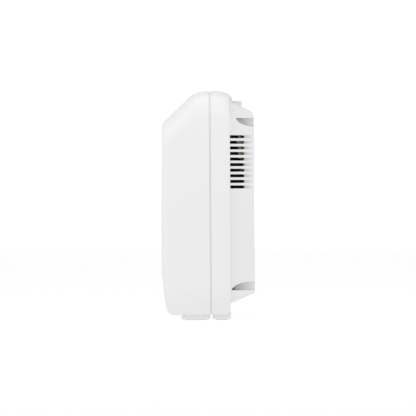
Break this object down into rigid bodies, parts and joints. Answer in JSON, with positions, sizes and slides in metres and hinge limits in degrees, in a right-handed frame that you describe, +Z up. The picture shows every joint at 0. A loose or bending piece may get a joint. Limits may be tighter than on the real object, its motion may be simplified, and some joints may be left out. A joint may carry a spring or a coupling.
{
  "type": "air quality monitor",
  "caption": "Free-standing indoor air quality monitor with a sloped brow, display window, vented rear bulge, rear push button and internal sensing fan.",
  "frame": {"origin": "middle of the footprint, on the surface the monitor stands on", "axes": "+X across the width, +Y towards the back, +Z up; the display faces -Y"},
  "size_m": [0.13, 0.0562, 0.138],
  "materials": {
    "white_shell": "fine matte, injection moulded",
    "white_button": "fine matte",
    "gasket": "matte",
    "window": "gloss, smoked",
    "panel": "satin",
    "backlight": "matte",
    "tray": "matte",
    "steel": "plain",
    "black_screw": "black oxide",
    "flat_cable": "semi gloss",
    "diffuser": "milky",
    "circuit_board": "solder mask",
    "tan_board": "bare laminate",
    "led": "gloss",
    "chip": "matte",
    "capacitor": "satin",
    "ferrite": "matte",
    "black_plastic": "matte",
    "socket": "matte",
    "brown_socket": "matte",
    "tin_can": "satin",
    "gold": "satin",
    "membrane": "woven",
    "blue_case": "matte",
    "fan_plastic": "semi gloss",
    "pad": "matte",
    "label": "satin",
    "wire": "pvc"
  },
  "bodies": {
    "housing": {"front_cover": "white_shell", "rear_cover": "white_shell", "seam_gasket": "gasket", "chamber_divider": "black_plastic", "display_window": "window", "display_panel": "panel", "display_backlight": "backlight", "display_frame": "tray", "display_screws": "steel", "display_cable": "flat_cable", "light_bar": "diffuser", "led_board": "circuit_board", "leds": "led", "main_board": "circuit_board", "board_screws": "steel", "board_chips": "chip", "board_capacitors": "capacitor", "power_inductor": "ferrite", "buzzer": "black_plastic", "board_sockets": "socket", "small_sockets": "socket", "wifi_board": "circuit_board", "wifi_shield": "tin_can", "co2_sensor": "gold", "co2_filter": "membrane", "particle_sensor_case": "blue_case", "particle_sensor_lid": "tin_can", "laser_module": "gold", "fan_motor": "steel", "sensor_board": "tan_board", "sensor_connector": "brown_socket", "gas_sensor": "tin_can", "humidity_sensor": "membrane", "usb_shell": "steel", "usb_tongue": "black_plastic", "power_board": "circuit_board", "button_switch": "black_plastic", "button_board": "circuit_board", "housing_screws": "black_screw", "small_screws": "steel", "foot_pads": "pad", "rear_label": "label", "sensor_harness": "wire", "particle_harness": "wire", "button_harness": "wire", "power_harness": "wire", "light_harness": "wire"},
    "button": {"rear_button": "white_button", "switch_plunger": "black_plastic"},
    "fan": {"fan_rotor": "fan_plastic"}
  },
  "joints": [
    {"name": "button_press", "type": "slide", "parent": "housing", "child": "button", "axis": [0, 0, -1], "range_m": [0, 0.001], "stiffness_N_per_m": 1500, "springref_m": -0.0003},
    {"name": "fan_spin", "type": "hinge", "parent": "housing", "child": "fan", "pos_m": [-0.025, 0.0111, 0.0545], "axis": [0, 1, 0], "continuous": true}
  ]
}
